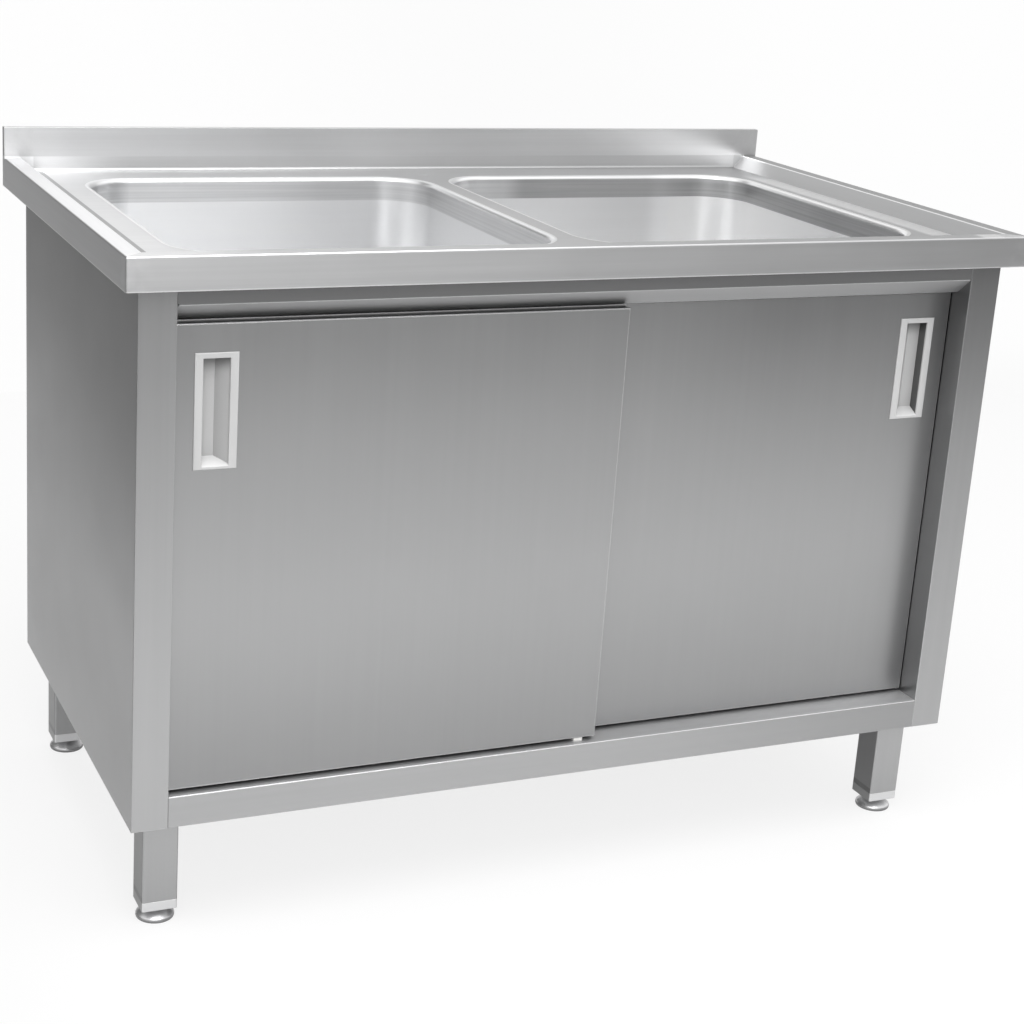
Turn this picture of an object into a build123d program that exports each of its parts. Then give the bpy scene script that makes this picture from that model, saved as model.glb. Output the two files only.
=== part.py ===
from build123d import *
import os

os.makedirs("parts", exist_ok=True)

# Free-standing stainless kitchen sink unit: two pressed bowls over a cabinet
# with two top-hung sliding doors.  Millimetres, +Z up, front towards -Y.
# The origin is the middle of the footprint, on the floor.

# overall sizes
unit_width = 1200.0
unit_depth = 700.0
rim_height = 850.0
fascia_height = 40.0
upstand_height = 42.0
upstand_thickness = 12.0

# worktop pressing
top_sheet = 1.5
rim_width = 22.0
deck_drop = 18.0
front_return = 30.0
side_return = 25.0
rim_bend = 2.5
foot_bend = 4.0
mark_radius = 7.0
mark_depth = 0.7

# bowls
bowl_sheet = 1.2
bowl_side_land = 90.0
bowl_front_land = 103.0
bowl_back_land = 87.0
bowl_gap = 40.0
bowl_depth = 250.0
bowl_corner = 65.0
bowl_roll = 6.0
bowl_flange = 8.0
bowl_floor_bend = 30.0

# waste fittings
waste_flange_radius = 36.0
waste_flange_thickness = 2.0
waste_thread_radius = 23.9
waste_bore_radius = 17.5
waste_mouth_radius = 20.4
strainer_radius = 20.0
strainer_thickness = 2.0
strainer_depth = 7.0
strainer_slot = 3.6
strainer_bar = 2.9
waste_thread_length = 22.0
waste_tail_radius = 20.0
waste_tail_length = 40.0
waste_hole_gap = 0.5
thread_gap = 0.06
gasket_thickness = 3.0
nut_height = 9.0
nut_size = 64.0

# cabinet body
body_sheet = 1.0
side_overhang = 20.0
front_overhang = 25.0
back_overhang = 60.0
body_bottom = 150.0
post_width = 45.0
jamb_depth = 63.0
floor_height = 190.0
edge_flange = 22.0
back_flange = 30.0
shelf_flange = 25.0
lip_return = 20.0

# header and hanging tracks
header_depth = 71.0
header_drop = 21.0
header_height = 42.0
slope_back = 25.0
header_lip = 5.0
header_relief = 1.8
track_setback = 43.0
track_height = 34.0
track_width = 18.0
track_screw_inset = 55.0
ledge_width = 10.0
lip_height = 4.0
track_pitch = 26.0

# doors
door_sheet = 1.0
door_thickness = 22.0
door_set_back = 11.0
door_side_gap = 0.8
door_overlap = 76.0
door_bottom_gap = 4.0
door_top_gap = 3.0
door_hem = 2.6
hem_depth = 9.0
lining_step = 10.5
lining_drop = 3.0
lining_rise = 2.5
groove_width = 8.0
hanger_inset = 70.0

# handle cups
handle_width = 52.0
handle_height = 138.0
handle_border = 9.5
handle_proud = 1.5
handle_cup_depth = 15.0
handle_wall = 1.6
handle_inset = 49.0
handle_drop = 103.0

# hangers, rollers
hanger_width = 30.0
hanger_sheet = 2.0
hanger_gap = 10.0
hanger_length = 62.0
hanger_screw_step = 8.0
hanger_screw_rise = 7.0
roller_radius = 10.0
roller_width = 6.0
roller_float = 0.3
axle_radius = 2.5
axle_gap = 0.05
axle_head_radius = 4.0
axle_head = 1.5
axle_end = 0.6

# nylon guide for the door bottoms
guide_x = 15.0
guide_width = 12.0
guide_base = 3.0
guide_tongue = 5.0
guide_rise = 10.0
guide_margin = 9.0
guide_screw_step = 5.5

# legs and feet
leg_size = 45.0
leg_wall = 1.5
leg_side_inset = 25.0
leg_front_inset = 40.0
leg_plate = 3.0
insert_collar = 12.0
insert_plug = 20.0
foot_height = 18.0
foot_radius = 24.0
stem_radius = 5.0
stem_length = 30.0

# screws and bolts
screw_radius = 2.0
screw_gap = 0.2
screw_head = 4.2
bolt_radius = 4.0
bolt_gap = 0.5
bolt_flats = 13.0
leg_bolt_step = 27.0
back_screw_inset = 18.0
back_screw_end = 65.0

# derived positions
fascia_bottom = rim_height - fascia_height
deck_top = rim_height - deck_drop
deck_under = deck_top - top_sheet
rail_seat = deck_under - 0.1
half_width = unit_width / 2
half_depth = unit_depth / 2
upstand_front = half_depth - upstand_thickness
bowl_width = half_width - bowl_side_land - bowl_gap / 2
bowl_length = unit_depth - bowl_front_land - bowl_back_land
bowl_pitch = bowl_width + bowl_gap
bowl_back_shift = (bowl_front_land - bowl_back_land) / 2
body_half = half_width - side_overhang
body_front = front_overhang - half_depth
body_back = half_depth - back_overhang
body_top = fascia_bottom
body_height = body_top - body_bottom
post_inner = body_half - post_width
body_inside = body_half - body_sheet
back_inside = body_back - body_sheet
back_sheet_front = back_inside - body_sheet
bowl_floor = deck_top - bowl_depth
half_sheet = body_sheet / 2
slope_edge = body_front + slope_back
slope_bottom = body_top - header_height
header_back = body_front + header_depth
track_top = body_top - body_sheet
track_ledge = track_top - track_height
front_track_wall = body_front + track_setback
left_door_front = body_front + door_set_back
door_width = post_inner - door_side_gap + door_overlap / 2
door_bottom = floor_height + door_bottom_gap
door_top = slope_bottom - door_top_gap
door_height = door_top - door_bottom
handle_centre_z = door_top - handle_drop
hanger_top = body_top - hanger_gap
hanger_bottom = hanger_top - hanger_length
roller_height = track_ledge + body_sheet + roller_float + roller_radius
leg_x = body_half - leg_side_inset - leg_size / 2
leg_front_y = body_front + leg_front_inset + leg_size / 2
leg_back_y = body_back - leg_side_inset - leg_size / 2
leg_top = body_bottom - leg_plate
leg_bottom = foot_height + insert_collar
leg_bolt_x = body_half - edge_flange / 2


def block(x_lo, x_hi, y_lo, y_hi, z_lo, z_hi, mode=Mode.ADD):
    """One straight run of sheet, given by its six faces."""
    centre = ((x_lo + x_hi) / 2, (y_lo + y_hi) / 2, (z_lo + z_hi) / 2)
    with Locations(centre):
        Box(x_hi - x_lo, y_hi - y_lo, z_hi - z_lo, mode=mode)


def drill(places, radius, height, axis=(0, 0, 0)):
    """Round holes of one size through the piece being built."""
    with Locations(*[Location(place, axis) for place in places]):
        Cylinder(radius, height, mode=Mode.SUBTRACT)


def folded(points, thickness, plane, length):
    """Sheet folded along a line of points and run both ways from the plane."""
    with BuildSketch(plane) as section:
        with BuildLine():
            Polyline(*points)
        trace(line_width=thickness)
    extrude(section.sketch, amount=length / 2, both=True)


def save(builder, name):
    """Names the finished piece and writes its file."""
    builder.part.label = name
    export_step(builder.part, f"parts/{name}.step")


# ---- worktop with marine edge, two cut-outs and upstand ----
slope_shift = top_sheet * (2 ** 0.5 - 1)
bowl_centres = [(side * bowl_pitch / 2, bowl_back_shift) for side in (-1, 1)]

with BuildPart() as under_form:
    block(-half_width + top_sheet, half_width - top_sheet,
          -half_depth + top_sheet, half_depth - top_sheet,
          fascia_bottom + top_sheet, rim_height - top_sheet)
    low_x = half_width - rim_width - deck_drop + slope_shift
    low_y = -half_depth + rim_width + deck_drop - slope_shift
    high = deck_drop + top_sheet + 2
    with BuildSketch(Plane.XY.offset(deck_under)):
        with Locations((0, (low_y + upstand_front + top_sheet) / 2)):
            Rectangle(2 * low_x, upstand_front + top_sheet - low_y)
    with BuildSketch(Plane.XY.offset(deck_under + high)):
        with Locations((0, (low_y - high + upstand_front + top_sheet) / 2)):
            Rectangle(2 * (low_x + high), upstand_front + top_sheet - low_y + high)
    loft(mode=Mode.SUBTRACT)
    block(-half_width + top_sheet, half_width - top_sheet,
          upstand_front + top_sheet, half_depth - top_sheet,
          deck_under, rim_height + upstand_height - top_sheet)

with BuildPart() as worktop:
    with BuildSketch(Plane.XY.offset(fascia_bottom)):
        Rectangle(unit_width, unit_depth)
    extrude(amount=fascia_height)
    with BuildSketch(Plane.XY.offset(fascia_bottom)):
        with Locations((0, half_depth - upstand_thickness / 2)):
            Rectangle(unit_width, upstand_thickness)
    extrude(amount=fascia_height + upstand_height)
    corner_lines = worktop.edges().filter_by(Axis.Z).group_by(Axis.Y)
    fillet(corner_lines[0], radius=rim_bend)
    rim_lines = worktop.faces().filter_by(Axis.Z).sort_by(Axis.Z)[-2].edges()
    rim_lines = [e for e in rim_lines if (e @ 0.5).Y < upstand_front - 1]
    top_lines = worktop.faces().sort_by(Axis.Z)[-1].edges().filter_by(Axis.X)
    fillet(rim_lines, radius=rim_bend)
    fillet(top_lines, radius=rim_bend)
    shelf_x = half_width - rim_width - deck_drop
    shelf_y = -half_depth + rim_width + deck_drop
    rise = deck_drop + 2
    with BuildSketch(Plane.XY.offset(deck_top)):
        with Locations((0, (shelf_y + upstand_front) / 2)):
            Rectangle(2 * shelf_x, upstand_front - shelf_y)
    with BuildSketch(Plane.XY.offset(deck_top + rise)):
        with Locations((0, (shelf_y - rise + upstand_front) / 2)):
            Rectangle(2 * (shelf_x + rise), upstand_front - shelf_y + rise)
    loft(mode=Mode.SUBTRACT)
    add(under_form.part, mode=Mode.SUBTRACT)
    block(-half_width + side_return, half_width - side_return,
          -half_depth + front_return, half_depth - top_sheet,
          fascia_bottom - 1, fascia_bottom + top_sheet + 1, Mode.SUBTRACT)
    with BuildSketch(Plane.XY.offset(deck_top + 1)):
        with Locations(*bowl_centres):
            RectangleRounded(bowl_width + 2 * bowl_flange, bowl_length + 2 * bowl_flange,
                             bowl_corner + bowl_flange)
    extrude(amount=-top_sheet - 3, mode=Mode.SUBTRACT)
    foot_lines = worktop.edges().filter_by(Axis.X).filter_by_position(
        Axis.Z, deck_top - 0.1, deck_top + 0.1)
    fillet(foot_lines.sort_by(Axis.Y)[-1], radius=foot_bend)
    mark_sphere = (mark_radius ** 2 + mark_depth ** 2) / (2 * mark_depth)
    mark_rows = (bowl_back_shift - bowl_length / 2, bowl_back_shift + bowl_length / 2 + 18)
    with Locations(*[(0, row, deck_top - mark_depth + mark_sphere) for row in mark_rows]):
        Sphere(mark_sphere, mode=Mode.SUBTRACT)
save(worktop, "worktop")


# ---- pressed bowls and their waste fittings ----
def bowl_wall(centre_x):
    """One pressed bowl: rolled lip, straight walls, rounded floor."""
    with BuildPart() as bowl:
        half_w = bowl_width / 2
        half_l = bowl_length / 2
        turn_w = half_w - bowl_corner
        turn_l = half_l - bowl_corner
        with BuildLine() as wall_line:
            Line((half_w, 0), (half_w, turn_l))
            CenterArc((turn_w, turn_l), bowl_corner, 0, 90)
            Line((turn_w, half_l), (-turn_w, half_l))
            CenterArc((-turn_w, turn_l), bowl_corner, 90, 90)
            Line((-half_w, turn_l), (-half_w, -turn_l))
            CenterArc((-turn_w, -turn_l), bowl_corner, 180, 90)
            Line((-turn_w, -half_l), (turn_w, -half_l))
            CenterArc((turn_w, -turn_l), bowl_corner, 270, 90)
            Line((half_w, -turn_l), (half_w, 0))
        floor_turn = bowl_floor + bowl_floor_bend
        lip_turn = deck_top - bowl_roll
        with BuildSketch(Plane.XZ) as section:
            with BuildLine():
                Line((half_w + bowl_flange, deck_top), (half_w + bowl_roll, deck_top))
                CenterArc((half_w + bowl_roll, lip_turn), bowl_roll, 90, 90)
                Line((half_w, lip_turn), (half_w, floor_turn))
                CenterArc((half_w - bowl_floor_bend, floor_turn), bowl_floor_bend, 270, 90)
                Line((half_w - bowl_floor_bend, bowl_floor),
                     (half_w - bowl_floor_bend, bowl_floor - bowl_sheet))
                CenterArc((half_w - bowl_floor_bend, floor_turn),
                          bowl_floor_bend + bowl_sheet, 270, 90)
                Line((half_w + bowl_sheet, floor_turn), (half_w + bowl_sheet, lip_turn))
                CenterArc((half_w + bowl_roll, lip_turn), bowl_roll - bowl_sheet, 90, 90)
                Line((half_w + bowl_roll, deck_top - bowl_sheet),
                     (half_w + bowl_flange, deck_top - bowl_sheet))
                Line((half_w + bowl_flange, deck_top - bowl_sheet),
                     (half_w + bowl_flange, deck_top))
            make_face()
        sweep(sections=section.sketch, path=wall_line.wires()[0])
        with BuildSketch(Plane.XY.offset(bowl_floor)):
            RectangleRounded(bowl_width - 2 * bowl_floor_bend, bowl_length - 2 * bowl_floor_bend,
                             bowl_corner - bowl_floor_bend)
        extrude(amount=-bowl_sheet)
        drill([(0, 0, bowl_floor)], waste_thread_radius + waste_hole_gap, 10)
    bowl.part.position = (centre_x, bowl_back_shift, 0)
    return bowl


for side, centre in zip(("left", "right"), bowl_centres):
    save(bowl_wall(centre[0]), f"{side}_bowl")

    thread_end = bowl_floor - waste_thread_length
    strainer_seat = bowl_floor - strainer_depth
    with BuildPart() as waste:
        with BuildSketch(Plane.XZ):
            with BuildLine():
                Polyline((waste_bore_radius, thread_end - waste_tail_length),
                         (waste_tail_radius, thread_end - waste_tail_length),
                         (waste_tail_radius, thread_end),
                         (waste_thread_radius, thread_end),
                         (waste_thread_radius, bowl_floor),
                         (waste_flange_radius, bowl_floor),
                         (waste_flange_radius, bowl_floor + 0.6),
                         (waste_flange_radius - 5, bowl_floor + waste_flange_thickness),
                         (waste_mouth_radius + 2, bowl_floor + waste_flange_thickness),
                         (waste_mouth_radius, bowl_floor),
                         (waste_mouth_radius, strainer_seat),
                         (waste_bore_radius, strainer_seat),
                         close=True)
            make_face()
        revolve(axis=Axis.Z)
    waste.part.position = (centre[0], centre[1], 0)
    save(waste, f"{side}_waste")

    with BuildPart() as strainer:
        with BuildSketch(Plane.XY.offset(strainer_seat)):
            Circle(strainer_radius)
            for step in (-2, -1, 0, 1, 2):
                slot_y = step * (strainer_slot + strainer_bar)
                slot_run = 2 * ((strainer_radius - strainer_bar) ** 2 - slot_y ** 2) ** 0.5
                with Locations((0, slot_y)):
                    SlotOverall(slot_run, strainer_slot, mode=Mode.SUBTRACT)
        extrude(amount=strainer_thickness)
    strainer.part.position = (centre[0], centre[1], 0)
    save(strainer, f"{side}_waste_strainer")

    under_floor = bowl_floor - bowl_sheet
    with BuildPart() as gasket:
        with BuildSketch(Plane.XY.offset(under_floor)):
            Circle(waste_flange_radius - 2)
            Circle(waste_thread_radius + waste_hole_gap, mode=Mode.SUBTRACT)
        extrude(amount=-gasket_thickness)
    gasket.part.position = (centre[0], centre[1], 0)
    save(gasket, f"{side}_waste_gasket")

    with BuildPart() as lock_nut:
        with BuildSketch(Plane.XY.offset(under_floor - gasket_thickness)):
            RegularPolygon(nut_size / 2, 6, major_radius=False)
            Circle(waste_thread_radius + thread_gap, mode=Mode.SUBTRACT)
        extrude(amount=-nut_height)
    lock_nut.part.position = (centre[0], centre[1], 0)
    save(lock_nut, f"{side}_waste_nut")

with BuildPart() as divider_rail:
    rail_half = bowl_pitch / 2 - bowl_width / 2 - bowl_flange - 1.5
    rail_run = back_sheet_front - (header_back + 4)
    folded([(-rail_half, deck_under - 25), (-rail_half, rail_seat - half_sheet),
            (rail_half, rail_seat - half_sheet), (rail_half, deck_under - 25)],
           body_sheet, Plane.XZ.offset(-(back_sheet_front - rail_run / 2)), rail_run)
save(divider_rail, "divider_rail")


# ---- cabinet side panels, each folded into a front post ----
back_screw_pitch = (body_height - 2 * back_screw_end) / 3
back_screw_rows = [body_bottom + back_screw_end + n * back_screw_pitch for n in range(4)]
back_screw_x = body_half - back_screw_inset
leg_rows = (leg_front_y, leg_back_y)
leg_bolt_steps = (-leg_bolt_step, leg_bolt_step)
leg_bolt_rows = [row + step for row in leg_rows for step in leg_bolt_steps]

for side, sign in (("left", -1), ("right", 1)):
    outer = sign * (body_half - half_sheet)
    inner = sign * (post_inner + half_sheet)
    with BuildPart() as side_panel:
        with BuildSketch(Plane.XY.offset(body_bottom)):
            with BuildLine():
                Polyline((sign * (body_half - back_flange), body_back - half_sheet),
                         (outer, body_back - half_sheet),
                         (outer, body_front + half_sheet),
                         (inner, body_front + half_sheet),
                         (inner, body_front + jamb_depth))
            trace(line_width=body_sheet)
        extrude(amount=body_height)
        flange_x = sorted((sign * body_inside, sign * (body_half - edge_flange)))
        block(flange_x[0], flange_x[1], body_front + body_sheet, back_sheet_front,
              body_bottom, body_bottom + body_sheet)
        block(flange_x[0], flange_x[1], body_front + jamb_depth, back_sheet_front,
              body_top - body_sheet, body_top)
        post_lines = side_panel.edges().filter_by(Axis.Z)
        post_lines = [e for e in post_lines
                      if abs((e @ 0.5).Y - body_front) < 0.1]
        fillet(post_lines, radius=body_sheet * 0.9)
        drill([(sign * leg_bolt_x, row, body_bottom) for row in leg_bolt_rows],
              bolt_radius + bolt_gap, 6)
        drill([(sign * back_screw_x, body_back, row) for row in back_screw_rows],
              screw_radius + screw_gap, 6, (90, 0, 0))
    save(side_panel, f"{side}_side_panel")

with BuildPart() as back_panel:
    sheet_mid = back_sheet_front + half_sheet
    folded([(sheet_mid, body_bottom + body_sheet), (sheet_mid, rail_seat - half_sheet),
            (body_back + 20, rail_seat - half_sheet)], body_sheet, Plane.YZ,
           2 * (body_inside - 0.5))
    for sign in (-1, 1):
        notch_x = sorted((sign * (half_width - side_return - 1), sign * body_half))
        block(notch_x[0], notch_x[1], back_sheet_front - 1, body_back + 21,
              body_top - 2, deck_under + 1, Mode.SUBTRACT)
    drill([(sign * back_screw_x, sheet_mid, row)
           for sign in (-1, 1) for row in back_screw_rows],
          screw_radius + screw_gap, 6, (90, 0, 0))
save(back_panel, "back_panel")

with BuildPart() as back_screws:
    for sign in (-1, 1):
        for row in back_screw_rows:
            with Locations(Location((sign * back_screw_x, body_back, row), (-90, 0, 0))):
                Cylinder(screw_head, 1.6, align=(Align.CENTER, Align.CENTER, Align.MIN))
                Cylinder(screw_radius, 9, align=(Align.CENTER, Align.CENTER, Align.MAX))
save(back_screws, "back_screws")


# ---- bottom shelf with front sill, and the rail under it ----
guide_mid_y = left_door_front + (track_pitch + door_thickness) / 2
guide_screw_rows = (guide_mid_y - guide_screw_step, guide_mid_y + guide_screw_step)

with BuildPart() as bottom_shelf:
    floor_under = floor_height - body_sheet
    block(-post_inner, post_inner, body_front, body_front + jamb_depth + 1,
          floor_under, floor_height)
    block(-body_inside, body_inside, body_front + jamb_depth + 1, back_sheet_front,
          floor_under, floor_height)
    block(-post_inner, post_inner, body_front, body_front + body_sheet,
          body_bottom, floor_height)
    block(-post_inner, post_inner, body_front, body_front + lip_return,
          body_bottom, body_bottom + body_sheet)
    block(-body_inside, body_inside, back_sheet_front - body_sheet, back_sheet_front,
          floor_height - shelf_flange, floor_height)
    for sign in (-1, 1):
        flange_x = sorted((sign * body_inside, sign * (body_inside - body_sheet)))
        block(flange_x[0], flange_x[1], body_front + jamb_depth + 1, back_sheet_front,
              floor_height - shelf_flange, floor_height)
    sill_lines = bottom_shelf.edges().filter_by(Axis.X).sort_by(Axis.Y)
    sill_lines = [e for e in sill_lines if abs((e @ 0.5).Y - body_front) < 0.1]
    fillet(sill_lines, radius=body_sheet * 0.9)
    drill([(guide_x, row, floor_height) for row in guide_screw_rows],
          screw_radius + screw_gap, 8)
save(bottom_shelf, "bottom_shelf")

with BuildPart() as shelf_rail:
    rail_top = floor_height - body_sheet - half_sheet
    folded([(-45, rail_top), (-25, rail_top), (-25, rail_top - 22), (25, rail_top - 22),
            (25, rail_top), (45, rail_top)], body_sheet, Plane.YZ, 2 * (body_inside - 6))
save(shelf_rail, "shelf_rail")


# ---- header over the doors and the two hanging tracks ----
track_screw_out = post_inner - track_screw_inset
track_screw_x = [track_screw_out * step / 3 for step in (-3, -1, 1, 3)]
track_screw_row = front_track_wall - track_width / 2
track_screw_spots = [(x, track_screw_row + shift) for x in track_screw_x
                     for shift in (0.0, track_pitch)]

with BuildPart() as header:
    folded([(header_back, body_top - half_sheet),
            (body_front + half_sheet, body_top - half_sheet),
            (body_front + half_sheet, body_top - header_drop),
            (slope_edge, slope_bottom + half_sheet),
            (slope_edge, slope_bottom + header_lip)], body_sheet, Plane.YZ, 2 * post_inner)
    drill([(x, y, body_top) for x, y in track_screw_spots], screw_radius + screw_gap, 8)
    drill([(sign * post_inner, body_front, body_top - header_drop) for sign in (-1, 1)],
          header_relief, 4, (90, 0, 0))
save(header, "header")

for name, shift in (("front_track", 0.0), ("rear_track", track_pitch)):
    with BuildPart() as track:
        wall = front_track_wall + shift - half_sheet
        folded([(wall - track_width + half_sheet, track_top - half_sheet),
                (wall, track_top - half_sheet),
                (wall, track_ledge + half_sheet),
                (wall - ledge_width + body_sheet, track_ledge + half_sheet),
                (wall - ledge_width + body_sheet, track_ledge + lip_height)],
               body_sheet, Plane.YZ, 2 * (post_inner - 1))
        drill([(x, track_screw_row + shift, track_top) for x in track_screw_x],
              screw_radius + screw_gap, 8)
    save(track, name)

with BuildPart() as track_screws:
    for x, y in track_screw_spots:
        with Locations((x, y, track_top - body_sheet)):
            Cylinder(screw_head, 2.2, align=(Align.CENTER, Align.CENTER, Align.MAX))
            Cylinder(screw_radius, 5, align=(Align.CENTER, Align.CENTER, Align.MIN))
save(track_screws, "track_screws")


# ---- nylon guide on the sill that keeps both door bottoms upright ----
tongue_left_y = left_door_front + door_thickness / 2
guide_top = floor_height + guide_base
guide_sides = (guide_x - guide_width / 2, guide_x + guide_width / 2)

with BuildPart() as door_guide:
    block(guide_sides[0], guide_sides[1], tongue_left_y - guide_margin,
          tongue_left_y + track_pitch + guide_margin, floor_height, guide_top)
    for y in (tongue_left_y, tongue_left_y + track_pitch):
        block(guide_sides[0], guide_sides[1], y - guide_tongue / 2, y + guide_tongue / 2,
              guide_top, guide_top + guide_rise)
    top_edges = door_guide.edges().filter_by(Axis.X).group_by(Axis.Z)[-1]
    chamfer(top_edges, length=1)
    for row in guide_screw_rows:
        with Locations((guide_x, row, guide_top)):
            CounterSinkHole(screw_radius + screw_gap, screw_head, 2 * guide_base)
save(door_guide, "door_guide")

with BuildPart() as guide_screws:
    for row in guide_screw_rows:
        with Locations((guide_x, row, guide_top - 0.2)):
            Cone(screw_radius, screw_head - 0.2, 2.0,
                 align=(Align.CENTER, Align.CENTER, Align.MAX))
            Cylinder(screw_radius, 9, align=(Align.CENTER, Align.CENTER, Align.MAX))
save(guide_screws, "guide_screws")


# ---- sliding doors with cups, hangers and rollers ----
for side, sign in (("left", -1), ("right", 1)):
    front = left_door_front + (0 if sign < 0 else track_pitch)
    rear = front + door_thickness
    far_x = sign * (post_inner - door_side_gap)
    near_x = far_x - sign * door_width
    x_lo = min(far_x, near_x)
    x_hi = max(far_x, near_x)
    cup_x = far_x - sign * handle_inset
    hanger_xs = (far_x - sign * hanger_inset, near_x + sign * hanger_inset)
    groove_lo = front + door_thickness / 2 - groove_width / 2
    groove_hi = groove_lo + groove_width
    cut_w = handle_width - 6
    cut_h = handle_height - 6

    with BuildPart() as door_skin:
        block(x_lo, x_hi, front, front + door_sheet, door_bottom, door_top)
        for edge in (x_lo, x_hi - door_sheet):
            block(edge, edge + door_sheet, front, rear, door_bottom, door_top)
        block(x_lo, x_hi, front, front + door_hem, door_top - door_sheet, door_top)
        block(x_lo, x_hi, front + door_hem - door_sheet, front + door_hem,
              door_top - hem_depth, door_top)
        block(x_lo, x_hi, front, groove_lo, door_bottom, door_bottom + door_sheet)
        front_lines = door_skin.faces().sort_by(Axis.Y)[0].edges()
        fillet(front_lines, radius=door_sheet * 0.9)
        block(cup_x - cut_w / 2, cup_x + cut_w / 2, front - 1, front + door_sheet,
              handle_centre_z - cut_h / 2, handle_centre_z + cut_h / 2, Mode.SUBTRACT)
    save(door_skin, f"{side}_door_skin")

    plate_back = rear - door_sheet
    plate_front = plate_back - hanger_sheet
    screw_steps = (-hanger_screw_step, hanger_screw_step)
    screw_row = hanger_bottom + hanger_screw_rise
    with BuildPart() as door_lining:
        block(x_lo + door_sheet, x_hi - door_sheet, rear - door_sheet, rear,
              door_bottom, door_top - lining_drop)
        block(x_lo + door_sheet, x_hi - door_sheet, front + lining_step, rear,
              door_top - lining_drop - door_sheet, door_top - lining_drop)
        block(x_lo + door_sheet, x_hi - door_sheet, front + lining_step,
              front + lining_step + door_sheet, door_top - lining_drop, door_top + lining_rise)
        block(x_lo + door_sheet, x_hi - door_sheet, groove_hi, rear,
              door_bottom, door_bottom + door_sheet)
        for x in hanger_xs:
            block(x - hanger_width / 2 - 1, x + hanger_width / 2 + 1, plate_front - 0.5,
                  plate_back, door_top - lining_drop - door_sheet - 1,
                  door_top - lining_drop + 1, Mode.SUBTRACT)
        drill([(x + step, rear, screw_row) for x in hanger_xs for step in screw_steps],
              screw_radius + screw_gap, 6, (90, 0, 0))
    save(door_lining, f"{side}_door_lining")

    with BuildPart() as cup:
        with BuildSketch(Plane.XZ.offset(-front)):
            with Locations((cup_x, handle_centre_z)):
                RectangleRounded(handle_width, handle_height, 2.5)
        extrude(amount=handle_proud)
        proud_face = cup.faces().sort_by(Axis.Y)[0]
        fillet(proud_face.edges(), radius=0.8)
        block(cup_x - cut_w / 2 + 0.4, cup_x + cut_w / 2 - 0.4,
              front, front + handle_cup_depth + handle_wall,
              handle_centre_z - cut_h / 2 + 0.4, handle_centre_z + cut_h / 2 - 0.4)
        pocket_half = handle_width / 2 - handle_border
        pocket_tall = handle_height - 2 * handle_border
        with BuildSketch(Plane.XY.offset(handle_centre_z - pocket_tall / 2)):
            with BuildLine():
                Polyline((cup_x - sign * -pocket_half, front - handle_proud - 1),
                         (cup_x - sign * -pocket_half, front + handle_cup_depth),
                         (cup_x - sign * 1.0, front + handle_cup_depth),
                         (cup_x - sign * pocket_half, front + 2.0),
                         (cup_x - sign * pocket_half, front - handle_proud - 1),
                         close=True)
            make_face()
        extrude(amount=pocket_tall, mode=Mode.SUBTRACT)
    save(cup, f"{side}_handle_cup")

    roller_y = front_track_wall - half_sheet - ledge_width / 2
    roller_y = roller_y + (0 if sign < 0 else track_pitch)
    for place, x in zip(("outer", "inner"), hanger_xs):
        with BuildPart() as hanger:
            with BuildSketch(Plane.XZ.offset(-plate_back)):
                with Locations((x, (hanger_bottom + hanger_top) / 2)):
                    RectangleRounded(hanger_width, hanger_top - hanger_bottom, 4)
            extrude(amount=hanger_sheet)
            drill([(x, plate_front, roller_height)], axle_radius, 8, (90, 0, 0))
            drill([(x + step, plate_front, screw_row) for step in screw_steps],
                  screw_radius + screw_gap, 8, (90, 0, 0))
        save(hanger, f"{side}_{place}_hanger")

        with BuildPart() as roller:
            with Locations(Location((x, roller_y, roller_height), (90, 0, 0))):
                Cylinder(roller_radius, roller_width)
                Cylinder(axle_radius + axle_gap, roller_width + 2, mode=Mode.SUBTRACT)
            rim_edges = roller.edges().filter_by(GeomType.CIRCLE).group_by(SortBy.RADIUS)[-1]
            chamfer(rim_edges, length=0.8)
        save(roller, f"{side}_{place}_roller")

    with BuildPart() as axles:
        for x in hanger_xs:
            with Locations(Location((x, plate_front, roller_height), (-90, 0, 0))):
                Cylinder(axle_head_radius, axle_head, align=(Align.CENTER, Align.CENTER, Align.MAX))
                Cylinder(axle_radius, roller_y + roller_width / 2 + axle_end - plate_front,
                         align=(Align.CENTER, Align.CENTER, Align.MIN))
                with Locations((0, 0, plate_back - plate_front)):
                    Cylinder(axle_head_radius, roller_y - roller_width / 2 - 0.3 - plate_back,
                             align=(Align.CENTER, Align.CENTER, Align.MIN))
    save(axles, f"{side}_roller_axles")

    with BuildPart() as hanger_screws:
        spots = [(x + step, rear, screw_row) for x in hanger_xs for step in screw_steps]
        for spot in spots:
            with Locations(Location(spot, (-90, 0, 0))):
                Cylinder(3.6, 1.2, align=(Align.CENTER, Align.CENTER, Align.MIN))
                Cylinder(screw_radius, 6, align=(Align.CENTER, Align.CENTER, Align.MAX))
    save(hanger_screws, f"{side}_hanger_screws")


# ---- legs, end inserts and levelling feet ----
corners = [("front_left", -leg_x, leg_front_y), ("front_right", leg_x, leg_front_y),
           ("back_left", -leg_x, leg_back_y), ("back_right", leg_x, leg_back_y)]

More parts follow.
